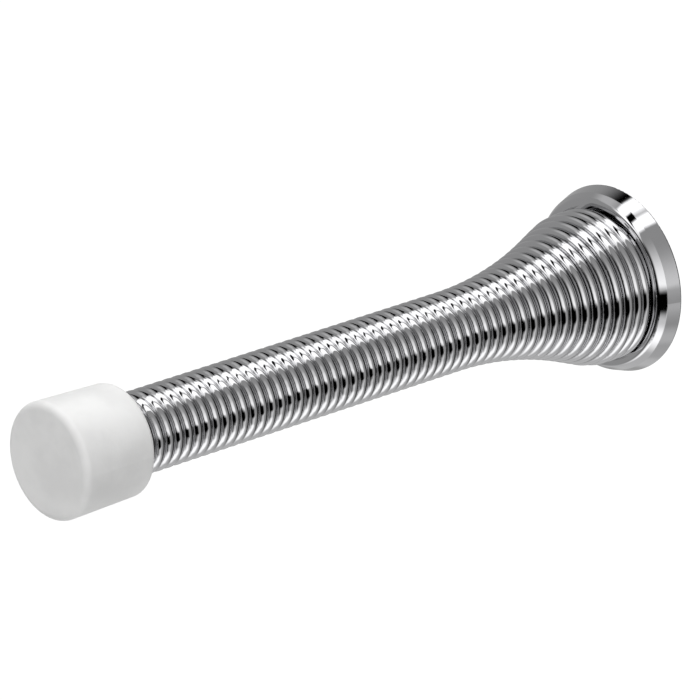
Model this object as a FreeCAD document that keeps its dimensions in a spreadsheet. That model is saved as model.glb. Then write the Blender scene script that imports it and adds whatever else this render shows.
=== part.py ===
import FreeCAD, Part
import math
import os
import Sketcher

# Spring door stop: a close-wound wire spring that opens like a trumpet onto a chromed wall flange,
# with a rubber cap on its free end. Every piece is drawn standing on the flange's back face, along +Z,
# and is then turned so that the back face looks along +Y and the cap points along -Y.

V = FreeCAD.Vector
doc = FreeCAD.newDocument("spring_door_stop")

# Driving dimensions in millimetres, with the two angles in degrees
SIZES = [
    ("overall_length", 103.0, "back face to the face of the cap"),
    ("wire_diameter", 1.6, "spring wire"),
    ("turn_gap", 0.03, "space between one turn and the next"),
    ("tube_diameter", 11.2, "outside of the straight part of the spring"),
    ("seat_diameter", 21.8, "outside of the turns that sit on the hub"),
    ("seat_length", 3.3, "straight stretch of those turns, along the axis"),
    ("flare_angle", 20.4, "steepest slope of the trumpet, in degrees"),
    ("throat_radius", 58.0, "hollow bend where the tube opens"),
    ("shoulder_radius", 6.5, "round bend where the trumpet meets the seat turns"),
    ("wire_end_angle", 135.0, "where the wire ends in the dish, in degrees round the axis"),
    ("flange_diameter", 26.8, "outside of the flange"),
    ("rim_height", 2.2, "height of the rim above the back face"),
    ("rim_draft", 0.7, "how far the rim leans in over its height"),
    ("crest_rise", 1.1, "crest above the rim"),
    ("crest_share", 0.52, "flat of the crest, as a share of the width between the dish and the rim"),
    ("seat_floor", 2.1, "floor of the dish above the back face"),
    ("dish_clearance", 0.2, "between the last turn and the wall of the dish"),
    ("spring_clearance", 0.05, "between the spring and what it seats on"),
    ("hub_lead_height", 1.6, "height of the hub's lead-in taper"),
    ("hub_lead_width", 0.9, "width of the hub's lead-in taper"),
    ("recess_diameter", 12.0, "well in the hub for the screw's head"),
    ("web_height", 3.3, "floor of that well above the back face"),
    ("screw_hole_diameter", 4.5, "clearance hole for a wood screw"),
    ("countersink_diameter", 8.6, "mouth of the screw's countersink"),
    ("countersink_depth", 2.0, "depth of the countersink"),
    ("back_edge_round", 0.2, "edge between the back face and the rim"),
    ("rim_round", 0.25, "edge between the rim and the shoulder"),
    ("crest_round", 0.75, "edge between the shoulder and the crest"),
    ("cap_length", 12.0, "length of the cap"),
    ("cap_face_diameter", 16.1, "cap at its face"),
    ("cap_mouth_diameter", 15.4, "cap at its mouth"),
    ("cap_face_thickness", 3.2, "rubber between the spring's end and the door"),
    ("cap_face_round", 1.0, "edge of the cap's face"),
    ("cap_mouth_round", 0.7, "outer edge of the cap's mouth"),
    ("socket_lead", 0.35, "lead-in chamfer of the cap's socket"),
]

# How the wire's centre line is divided
SPANS_PER_TURN = 8
EDGES_PER_TURN = 2

# How much of a flat a round beside it may take
LARGEST_ROUND_SHARE = 0.95

sheet = doc.addObject("Spreadsheet::Sheet", "Sizes")
for row, (alias, size, meaning) in enumerate(SIZES, start=1):
    sheet.set("A%d" % row, meaning)
    sheet.set("B%d" % row, str(size))
    sheet.setAlias("B%d" % row, alias)
doc.recompute()

ON_THE_WALL = FreeCAD.Placement(V(0, 0, 0), FreeCAD.Rotation(V(1, 0, 0), 90))
SAME_PLACE = 0.001


def value(expression):
    """The number that an expression in the sheet's sizes stands for."""
    return float(sheet.evalExpression(expression))


def turned_body(label, corners):
    """A body turned about the axis, from corners given as (radius, height) expressions."""
    body = doc.addObject("PartDesign::Body", label)
    body.Label = label
    profile = body.newObject("Sketcher::SketchObject", label + "_profile")
    plane = [item for item in body.Origin.OriginFeatures if item.Role == "XZ_Plane"][0]
    profile.AttachmentSupport = [(plane, "")]
    profile.MapMode = "FlatFace"
    points = [V(value(radius), value(height), 0) for radius, height in corners]
    count = len(points)
    for index in range(count):
        profile.addGeometry(Part.LineSegment(points[index], points[(index + 1) % count]), False)
    for index in range(count):
        profile.addConstraint(Sketcher.Constraint("Coincident", index, 2, (index + 1) % count, 1))
    for index, (radius, height) in enumerate(corners):
        along = profile.addConstraint(Sketcher.Constraint("DistanceX", -1, 1, index, 1, points[index].x))
        up = profile.addConstraint(Sketcher.Constraint("DistanceY", -1, 1, index, 1, points[index].y))
        profile.setExpression("Constraints[%d]" % along, radius)
        profile.setExpression("Constraints[%d]" % up, height)
    turned = body.newObject("PartDesign::Revolution", label + "_turned")
    turned.Profile = profile
    turned.ReferenceAxis = (profile, ["V_Axis"])
    turned.Angle = 360
    doc.recompute()
    return body


def round_edge(body, name, round_size, radius, height):
    """Round the circular edge of a body at a radius and height, all given as expressions."""
    shape = body.Tip.Shape
    edges = []
    for number, edge in enumerate(shape.Edges, start=1):
        if not isinstance(edge.Curve, Part.Circle):
            continue
        if abs(edge.Curve.Radius - value(radius)) < SAME_PLACE:
            if abs(edge.Curve.Center.z - value(height)) < SAME_PLACE:
                edges.append("Edge%d" % number)
    rounded = body.newObject("PartDesign::Fillet", name)
    rounded.Base = (rounded.BaseFeature, edges)
    rounded.setExpression("Radius", round_size)
    doc.recompute()


# Flange: the flat back, the rim, the crest, the dish for the last turn, the hub inside the spring
FLANGE_RADIUS = "Sizes.flange_diameter / 2"
DISH_RADIUS = "Sizes.seat_diameter / 2 + Sizes.dish_clearance"
RIM_RADIUS = FLANGE_RADIUS + " - Sizes.rim_draft"
CREST_FLAT = "Sizes.crest_share * (%s - (%s))" % (RIM_RADIUS, DISH_RADIUS)
CREST_RADIUS = DISH_RADIUS + " + " + CREST_FLAT
CREST_HEIGHT = "Sizes.rim_height + Sizes.crest_rise"
CREST_ROUND = "min(Sizes.crest_round; %g * %s)" % (LARGEST_ROUND_SHARE, CREST_FLAT)
HUB_RADIUS = "Sizes.seat_diameter / 2 - Sizes.wire_diameter - Sizes.spring_clearance"
SEAT_START = "Sizes.seat_floor + Sizes.spring_clearance + Sizes.wire_diameter / 2"
HUB_SHOULDER = SEAT_START + " + Sizes.seat_length"
HUB_TOP = HUB_SHOULDER + " + Sizes.hub_lead_height"
HOLE_RADIUS = "Sizes.screw_hole_diameter / 2"

flange = turned_body("base_flange", [
    (HOLE_RADIUS, "0"),
    (FLANGE_RADIUS, "0"),
    (RIM_RADIUS, "Sizes.rim_height"),
    (CREST_RADIUS, CREST_HEIGHT),
    (DISH_RADIUS, CREST_HEIGHT),
    (DISH_RADIUS, "Sizes.seat_floor"),
    (HUB_RADIUS, "Sizes.seat_floor"),
    (HUB_RADIUS, HUB_SHOULDER),
    (HUB_RADIUS + " - Sizes.hub_lead_width", HUB_TOP),
    ("Sizes.recess_diameter / 2", HUB_TOP),
    ("Sizes.recess_diameter / 2", "Sizes.web_height"),
    ("Sizes.countersink_diameter / 2", "Sizes.web_height"),
    (HOLE_RADIUS, "Sizes.web_height - Sizes.countersink_depth"),
])
round_edge(flange, "rim_rounded", "Sizes.rim_round", RIM_RADIUS, "Sizes.rim_height")
round_edge(flange, "crest_rounded", CREST_ROUND, CREST_RADIUS, CREST_HEIGHT)
round_edge(flange, "back_edge_rounded", "Sizes.back_edge_round", FLANGE_RADIUS, "0")
flange.Placement = ON_THE_WALL


# Cap: a cup with a slight draft, wider at the face that meets the door
CAP_FACE_RADIUS = "Sizes.cap_face_diameter / 2"
CAP_MOUTH_RADIUS = "Sizes.cap_mouth_diameter / 2"
CAP_MOUTH = "Sizes.overall_length - Sizes.cap_length"
SOCKET_RADIUS = "Sizes.tube_diameter / 2 + Sizes.spring_clearance"
SOCKET_FLOOR = "Sizes.overall_length - Sizes.cap_face_thickness"

cap = turned_body("bumper_cap", [
    ("0", "Sizes.overall_length"),
    ("0", SOCKET_FLOOR),
    (SOCKET_RADIUS, SOCKET_FLOOR),
    (SOCKET_RADIUS, CAP_MOUTH + " + Sizes.socket_lead"),
    (SOCKET_RADIUS + " + Sizes.socket_lead", CAP_MOUTH),
    (CAP_MOUTH_RADIUS, CAP_MOUTH),
    (CAP_FACE_RADIUS, "Sizes.overall_length"),
])
round_edge(cap, "face_rounded", "Sizes.cap_face_round", CAP_FACE_RADIUS, "Sizes.overall_length")
round_edge(cap, "mouth_rounded", "Sizes.cap_mouth_round", CAP_MOUTH_RADIUS, CAP_MOUTH)
cap.Placement = ON_THE_WALL


# Spring: the half section of the coil runs from the hub to the tip in five stretches,
# a straight seat, a round shoulder, a cone, a hollow throat and a straight tube
def coil_stretches():
    """The stretches of the coil's half section, each as its length and its curvature."""
    angle = math.radians(value("Sizes.flare_angle"))
    rise = value("(Sizes.seat_diameter - Sizes.tube_diameter) / 2")
    bend_room = rise / (1 - math.cos(angle))
    shoulder = min(value("Sizes.shoulder_radius"), bend_room / 2)
    throat = min(value("Sizes.throat_radius"), bend_room - shoulder)
    cone = (rise - (shoulder + throat) * (1 - math.cos(angle))) / math.sin(angle)
    flare_height = (shoulder + throat) * math.sin(angle) + cone * math.cos(angle)
    seat = value("Sizes.seat_length")
    tube = value(SPRING_TIP + " - (" + SEAT_START + ")") - seat - flare_height
    return [
        (seat, 0.0),
        (shoulder * angle, 1 / shoulder),
        (cone, 0.0),
        (throat * angle, -1 / throat),
        (tube, 0.0),
    ]


def carried_on(radius, height, slope, step, curvature):
    """Radius, height and inward slope of the half section after a step of constant curvature."""
    if curvature == 0:
        return radius - step * math.sin(slope), height + step * math.cos(slope), slope
    turned_to = slope + step * curvature
    radius += (math.cos(turned_to) - math.cos(slope)) / curvature
    height += (math.sin(turned_to) - math.sin(slope)) / curvature
    return radius, height, turned_to


def half_section(distance):
    """Radius, height and inward slope of the coil at a distance along its half section."""
    state = (COIL_START_RADIUS, COIL_START_HEIGHT, 0.0)
    for length, curvature in STRETCHES:
        state = carried_on(*state, min(distance, length), curvature)
        distance -= length
        if distance <= 0:
            break
    return state


def wire_station(turn):
    """Place of the wire's centre line after a number of turns, and its change per turn."""
    radius, height, slope = half_section(turn * PITCH)
    angle = WIRE_END_ANGLE + 2 * math.pi * turn
    outwards = V(math.cos(angle), math.sin(angle), 0)
    onwards = V(-math.sin(angle), math.cos(angle), 0)
    place = outwards * radius + V(0, 0, height)
    change = onwards * (2 * math.pi * radius)
    change += outwards * (-PITCH * math.sin(slope)) + V(0, 0, PITCH * math.cos(slope))
    return place, change


def wire_edge(first, last):
    """The wire's centre line between two turns, as one smooth cubic curve."""
    spans = max(1, round((last - first) * SPANS_PER_TURN))
    step = (last - first) / spans
    turns = [first + step * index for index in range(spans + 1)]
    stations = [wire_station(turn) for turn in turns]
    poles = [stations[0][0]]
    for (place, change), (next_place, next_change) in zip(stations, stations[1:]):
        poles.append(place + change * (step / 3))
        poles.append(next_place - next_change * (step / 3))
    poles.append(stations[-1][0])
    curve = Part.BSplineCurve()
    curve.buildFromPolesMultsKnots(poles, [4] + [2] * (spans - 1) + [4], turns, False, 3)
    return curve.toShape()


SPRING_TIP = SOCKET_FLOOR + " - Sizes.spring_clearance - Sizes.wire_diameter / 2"
COIL_START_RADIUS = value("(Sizes.seat_diameter - Sizes.wire_diameter) / 2")
COIL_START_HEIGHT = value(SEAT_START)
WIRE_END_ANGLE = math.radians(value("Sizes.wire_end_angle"))
PITCH = value("Sizes.wire_diameter + Sizes.turn_gap")
STRETCHES = coil_stretches()
TURNS = sum(length for length, _ in STRETCHES) / PITCH
EDGES = math.ceil(TURNS * EDGES_PER_TURN)

wire_path = doc.addObject("Part::Feature", "wire_path")
wire_path.Shape = Part.Wire([
    wire_edge(TURNS * index / EDGES, TURNS * (index + 1) / EDGES) for index in range(EDGES)
])
wire_section = doc.addObject("Part::Circle", "wire_section")
wire_section.setExpression("Radius", "Sizes.wire_diameter / 2")
wire_start, wire_heading = wire_station(0)
wire_section.Placement = FreeCAD.Placement(wire_start, FreeCAD.Rotation(V(0, 0, 1), wire_heading))

spring = doc.addObject("Part::Sweep", "spring")
spring.Label = "spring"
spring.Sections = [wire_section]
spring.Spine = (wire_path, ["Edge%d" % (index + 1) for index in range(EDGES)])
spring.Solid = True
spring.Frenet = True
spring.Placement = ON_THE_WALL


# Check every object, then write one file for each piece
doc.recompute()
for item in doc.Objects:
    if "Invalid" in item.State or "Error" in item.State:
        raise RuntimeError("%s did not build" % item.Label)
for piece in (flange, spring, cap):
    if piece.Shape.isNull() or not piece.Shape.isValid():
        raise RuntimeError("%s is not a sound solid" % piece.Label)
    print("%s: %d solid, %.2f mm3" % (piece.Label, len(piece.Shape.Solids), piece.Shape.Volume))
wire_volume = math.pi * value("Sizes.wire_diameter / 2") ** 2 * wire_path.Shape.Length
print("spring: %.2f turns, wire %.1f mm long, %.2f mm3" % (TURNS, wire_path.Shape.Length, wire_volume))

os.makedirs("parts", exist_ok=True)
for piece in (flange, spring, cap):
    piece.Shape.exportStep("parts/%s.step" % piece.Label)
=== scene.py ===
# Spring door stop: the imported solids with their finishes, on a pale floor in soft studio light
import math
from collections import namedtuple

import bpy
from mathutils import Matrix, Vector


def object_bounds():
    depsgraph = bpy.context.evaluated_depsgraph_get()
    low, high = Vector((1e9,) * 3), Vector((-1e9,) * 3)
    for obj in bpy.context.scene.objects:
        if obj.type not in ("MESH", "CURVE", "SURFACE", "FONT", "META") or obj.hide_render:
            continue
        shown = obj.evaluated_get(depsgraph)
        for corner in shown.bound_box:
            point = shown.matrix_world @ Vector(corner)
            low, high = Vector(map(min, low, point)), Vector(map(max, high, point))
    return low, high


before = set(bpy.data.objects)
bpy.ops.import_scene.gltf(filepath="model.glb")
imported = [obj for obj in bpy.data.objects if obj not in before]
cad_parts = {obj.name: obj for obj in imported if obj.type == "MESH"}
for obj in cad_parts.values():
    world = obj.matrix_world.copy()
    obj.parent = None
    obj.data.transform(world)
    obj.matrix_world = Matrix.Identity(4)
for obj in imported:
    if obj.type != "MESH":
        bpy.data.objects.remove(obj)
cad_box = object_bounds()

# The camera: angles in degrees, places and limits in metres, sensor and lens in millimetres
VIEW_AZIMUTH = 47.318
VIEW_ELEVATION = 20.711
VIEW_DISTANCE = 0.82486
VIEW_TARGET = Vector((0.0, -0.05, 0.0))
FRAMING_RIGHT = 0.00006
FRAMING_UP = 0.00184
SENSOR_WIDTH = 36.0
LENS_LENGTH = 316.33
NEAR_LIMIT = 0.01
FAR_LIMIT = 100.0

# Floor under the object, in metres, and its brightness
FLOOR_DROP = 0.045
FLOOR_SIZE = 12.0
FLOOR_BRIGHTNESS = 1.05

# Noise in the finishes: its roughness, and the part of its range that is put to use
NOISE_ROUGHNESS = 0.55
NOISE_RANGE = (0.3, 0.7)

# Chrome: its two linear colours, its range of roughness, the height of its waves in metres, the number
# of waves in a metre, and how many clouds and how many patches of uneven polish go to one wave
CHROME_LIGHT = (0.58, 0.58, 0.59)
CHROME_SHADE = (0.54, 0.54, 0.55)
CHROME_ROUGHNESS = (0.02, 0.06)
WAVE_HEIGHT = 0.000003
WIRE_WAVES = 1400.0
FLANGE_WAVES = 900.0
CLOUDS_PER_WAVE = 0.12
POLISH_PER_WAVE = 0.5

# Rubber: its two linear colours, its range of roughness, its refraction, the number of pale patches,
# of dull patches and of grains in a metre, and the height of the grain in metres and its strength
RUBBER_LIGHT = (0.88, 0.88, 0.875)
RUBBER_SHADE = (0.81, 0.81, 0.805)
RUBBER_ROUGHNESS = (0.5, 0.66)
RUBBER_REFRACTION = 1.45
PALE_PATCHES = 160.0
PALE_RANGE = (0.32, 0.68)
DULL_PATCHES = 420.0
GRAINS = 2600.0
GRAIN_HEIGHT = 0.00002
GRAIN_STRENGTH = 0.5

# Lamps for the matte cap, in metres
LAMP_DISTANCE = 1.5
LAMP_SIZE = 1.2

# The studio, seen from the object: the brightness of the room and of the table below it, and the heights
# of a unit direction where the table begins and where it is full
ROOM_LEVEL = 0.42
TABLE_LEVEL = 0.7
TABLE_EDGE = (-0.67, -0.84)

# Cards in the studio. Each has the azimuth (0 is -Y, 90 is +X) and the elevation of its middle, its half
# width and half height, all in degrees, how soft its sides and its ends are as shares of those halves,
# and its brightness. An elevation above 90 leans past the top. A later card covers an earlier one.
Card = namedtuple("Card", "azimuth elevation half_width half_height soft_sides soft_ends brightness")
CARDS = {
    "dark_front": Card(5, -10, 34, 38, 0.35, 0.4, 0.03),
    "table_front": Card(30, -64, 32, 13, 0.5, 0.8, 1.8),
    "dark_side": Card(163, -5, 25, 48, 0.35, 0.7, 0.02),
    "left_wall": Card(-65, 55, 20, 10, 0.5, 0.75, 0.7),
    "dark_corner": Card(-137, 43, 12, 28, 0.5, 0.3, 0.0),
    "front_reflector": Card(70, -3, 27, 30, 0.6, 0.95, 1.6),
    "black_flag": Card(45, -19, 50, 15, 0.45, 0.45, 0.0),
    "back_strip": Card(-158, 48, 8, 40, 0.8, 0.8, 2.2),
    "front_strip": Card(-12, 38, 14, 16, 0.4, 0.6, 2.0),
    "left_box": Card(90, 100, 45, 8, 0.5, 0.3, 2.0),
    "right_box": Card(90, 77, 50, 7.5, 0.6, 0.35, 2.0),
    "overhead_gap": Card(2, 66, 4.6, 24, 0.4, 0.3, 0.0),
}


# Node helpers
def add_node(tree, kind, **inputs):
    """A new node with some of its sockets set by name."""
    node = tree.nodes.new(kind)
    for name, setting in inputs.items():
        node.inputs[name].default_value = setting
    return node


def math_node(tree, operation, *sources):
    """A math node fed by sockets; returns its result."""
    node = tree.nodes.new("ShaderNodeMath")
    node.operation = operation
    for index, source in enumerate(sources):
        tree.links.new(source, node.inputs[index])
    return node.outputs[0]


def ramp_value(tree, source, span, result=(0.0, 1.0)):
    """Maps a value from one range to another, smoothly at both ends."""
    node = tree.nodes.new("ShaderNodeMapRange")
    node.interpolation_type = "SMOOTHSTEP"
    tree.links.new(source, node.inputs["Value"])
    node.inputs["From Min"].default_value, node.inputs["From Max"].default_value = span
    node.inputs["To Min"].default_value, node.inputs["To Max"].default_value = result
    return node.outputs["Result"]


def empty_material(name):
    """A material, its node tree with nothing in it but an output, and that output."""
    material = bpy.data.materials.new(name)
    material.use_nodes = True
    tree = material.node_tree
    tree.nodes.clear()
    return material, tree, tree.nodes.new("ShaderNodeOutputMaterial")


def object_noise(tree, scale, detail):
    """Noise fixed to the object, at a scale in features per metre."""
    place = tree.nodes.new("ShaderNodeTexCoord")
    noise = add_node(tree, "ShaderNodeTexNoise", Scale=scale, Detail=detail, Roughness=NOISE_ROUGHNESS)
    tree.links.new(place.outputs["Object"], noise.inputs["Vector"])
    return noise.outputs["Fac"]


def mixed_colour(tree, share, first, second):
    """A colour between two, by a share from 0 to 1."""
    mix = tree.nodes.new("ShaderNodeMix")
    mix.data_type = "RGBA"
    tree.links.new(share, mix.inputs["Factor"])
    mix.inputs["A"].default_value = (*first, 1.0)
    mix.inputs["B"].default_value = (*second, 1.0)
    return mix.outputs["Result"]


def covered(tree, below, share, level):
    """A brightness, a number or a socket, with another brightness laid over a share of it."""
    mix = tree.nodes.new("ShaderNodeMix")
    mix.data_type = "FLOAT"
    tree.links.new(share, mix.inputs["Factor"])
    if isinstance(below, float):
        mix.inputs["A"].default_value = below
    else:
        tree.links.new(below, mix.inputs["A"])
    mix.inputs["B"].default_value = level
    return mix.outputs["Result"]


def bump(tree, relief, height, strength=1.0):
    """A surface direction bent by a relief of a height in metres."""
    node = add_node(tree, "ShaderNodeBump", Strength=strength, Distance=height)
    tree.links.new(relief, node.inputs["Height"])
    return node.outputs["Normal"]


# Finishes of the pieces
def chrome(name, waves):
    """Polished chrome plate: a little cloudiness, uneven polish and a fine waviness."""
    material, tree, output = empty_material(name)
    shader = add_node(tree, "ShaderNodeBsdfPrincipled", Metallic=1.0)
    clouds = object_noise(tree, waves * CLOUDS_PER_WAVE, detail=3.0)
    tree.links.new(mixed_colour(tree, clouds, CHROME_SHADE, CHROME_LIGHT), shader.inputs["Base Color"])
    polish = object_noise(tree, waves * POLISH_PER_WAVE, detail=4.0)
    tree.links.new(ramp_value(tree, polish, NOISE_RANGE, CHROME_ROUGHNESS), shader.inputs["Roughness"])
    waviness = object_noise(tree, waves, detail=2.0)
    tree.links.new(bump(tree, waviness, WAVE_HEIGHT), shader.inputs["Normal"])
    tree.links.new(shader.outputs["BSDF"], output.inputs["Surface"])
    return material


def rubber(name):
    """Matte moulded rubber: faint cloudy patches and a fine grain."""
    material, tree, output = empty_material(name)
    shader = add_node(tree, "ShaderNodeBsdfPrincipled", Metallic=0.0, IOR=RUBBER_REFRACTION)
    pale = ramp_value(tree, object_noise(tree, PALE_PATCHES, detail=3.0), PALE_RANGE)
    tree.links.new(mixed_colour(tree, pale, RUBBER_SHADE, RUBBER_LIGHT), shader.inputs["Base Color"])
    dull = object_noise(tree, DULL_PATCHES, detail=4.0)
    tree.links.new(ramp_value(tree, dull, NOISE_RANGE, RUBBER_ROUGHNESS), shader.inputs["Roughness"])
    grain = object_noise(tree, GRAINS, detail=3.0)
    tree.links.new(bump(tree, grain, GRAIN_HEIGHT, GRAIN_STRENGTH), shader.inputs["Normal"])
    tree.links.new(shader.outputs["BSDF"], output.inputs["Surface"])
    return material


def dress(node, material):
    """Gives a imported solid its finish."""
    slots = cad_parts[node].data.materials
    slots.clear()
    slots.append(material)


# Stage: floor, studio, lamps and camera
def pale_floor():
    """A pale floor that the camera alone sees: the chrome and the cap get the studio's table instead."""
    mesh = bpy.data.meshes.new("floor")
    half = FLOOR_SIZE / 2
    height = cad_box[0][2] - FLOOR_DROP
    corners = [(x * half, y * half, height) for x, y in ((-1, -1), (1, -1), (1, 1), (-1, 1))]
    mesh.from_pydata(corners, [], [(0, 1, 2, 3)])
    floor = bpy.data.objects.new("floor", mesh)
    bpy.context.scene.collection.objects.link(floor)
    material, tree, output = empty_material("pale_floor")
    light = add_node(tree, "ShaderNodeEmission", Strength=FLOOR_BRIGHTNESS)
    tree.links.new(light.outputs[0], output.inputs["Surface"])
    mesh.materials.append(material)
    floor.visible_glossy = False
    floor.visible_diffuse = False
    floor.visible_shadow = False


def direction_axes(azimuth, elevation):
    """Ahead, right and up for a direction in degrees; azimuth 0 is -Y, 90 is +X."""
    turn = math.radians(azimuth)
    rise = math.radians(elevation)
    ahead = Vector((math.sin(turn) * math.cos(rise), -math.cos(turn) * math.cos(rise), math.sin(rise)))
    right = Vector((math.cos(turn), math.sin(turn), 0))
    return ahead, right, ahead.cross(right)


def along(tree, way, axis):
    """How far a direction points along an axis."""
    node = tree.nodes.new("ShaderNodeVectorMath")
    node.operation = "DOT_PRODUCT"
    tree.links.new(way, node.inputs[0])
    node.inputs[1].default_value = axis
    return node.outputs["Value"]


def card_share(tree, way, card):
    """How much of a card covers a direction, from 0 to 1."""
    axes = direction_axes(card.azimuth, card.elevation)
    ahead, right, up = (along(tree, way, axis) for axis in axes)
    across = (right, card.half_width, card.soft_sides)
    upright = (up, card.half_height, card.soft_ends)
    shares = []
    for offset, half_angle, softness in (across, upright):
        angle = math_node(tree, "ABSOLUTE", math_node(tree, "ARCTAN2", offset, ahead))
        edge = math.radians(half_angle)
        shares.append(ramp_value(tree, angle, (edge * (1 + softness), edge * (1 - softness))))
    return math_node(tree, "MULTIPLY", *shares)


def studio():
    """The surroundings: an even room, a table below and the cards over them."""
    world = bpy.data.worlds.new("studio")
    bpy.context.scene.world = world
    world.use_nodes = True
    tree = world.node_tree
    tree.nodes.clear()
    way = tree.nodes.new("ShaderNodeTexCoord").outputs["Generated"]
    table = ramp_value(tree, along(tree, way, (0, 0, 1)), TABLE_EDGE)
    level = covered(tree, ROOM_LEVEL, table, TABLE_LEVEL)
    for card in CARDS.values():
        level = covered(tree, level, card_share(tree, way, card), card.brightness)
    light = add_node(tree, "ShaderNodeBackground", Color=(1.0, 1.0, 1.0, 1.0))
    tree.links.new(level, light.inputs["Strength"])
    output = tree.nodes.new("ShaderNodeOutputWorld")
    tree.links.new(light.outputs[0], output.inputs["Surface"])


def stand(name, data, place, right, up, back):
    """Puts a new lamp or camera in the scene at a place, looking away from its back."""
    thing = bpy.data.objects.new(name, data)
    bpy.context.scene.collection.objects.link(thing)
    turn = Matrix((right, up, back)).transposed().to_4x4()
    thing.matrix_world = Matrix.Translation(place) @ turn
    return thing


def soft_lamp(name, azimuth, elevation, power):
    """A large lamp for the matte cap, left out of the reflections; its power is in watts."""
    data = bpy.data.lights.new(name, "AREA")
    data.shape = "DISK"
    data.size = LAMP_SIZE
    data.energy = power
    ahead, right, up = direction_axes(azimuth, elevation)
    lamp = stand(name, data, VIEW_TARGET + ahead * LAMP_DISTANCE, right, up, ahead)
    lamp.visible_glossy = False


def set_camera():
    """The camera at the photo's own viewing angle."""
    data = bpy.data.cameras.new("camera")
    data.sensor_width = SENSOR_WIDTH
    data.lens = LENS_LENGTH
    data.clip_start = NEAR_LIMIT
    data.clip_end = FAR_LIMIT
    ahead, right, up = direction_axes(VIEW_AZIMUTH, VIEW_ELEVATION)
    place = VIEW_TARGET + ahead * VIEW_DISTANCE
    aim = VIEW_TARGET + right * FRAMING_RIGHT + up * FRAMING_UP
    back = (place - aim).normalized()
    across = Vector((0, 0, 1)).cross(back).normalized()
    bpy.context.scene.camera = stand("camera", data, place, across, back.cross(across), back)


dress("spring", chrome("drawn_wire_chrome", WIRE_WAVES))
dress("base_flange", chrome("turned_chrome", FLANGE_WAVES))
dress("bumper_cap", rubber("white_rubber"))

pale_floor()
studio()
soft_lamp("key_lamp", azimuth=10.0, elevation=58.0, power=6.5)
soft_lamp("fill_lamp", azimuth=60.0, elevation=-40.0, power=1.2)
set_camera()

bpy.context.scene.view_settings.view_transform = "Standard"
bpy.context.scene.view_settings.look = "None"
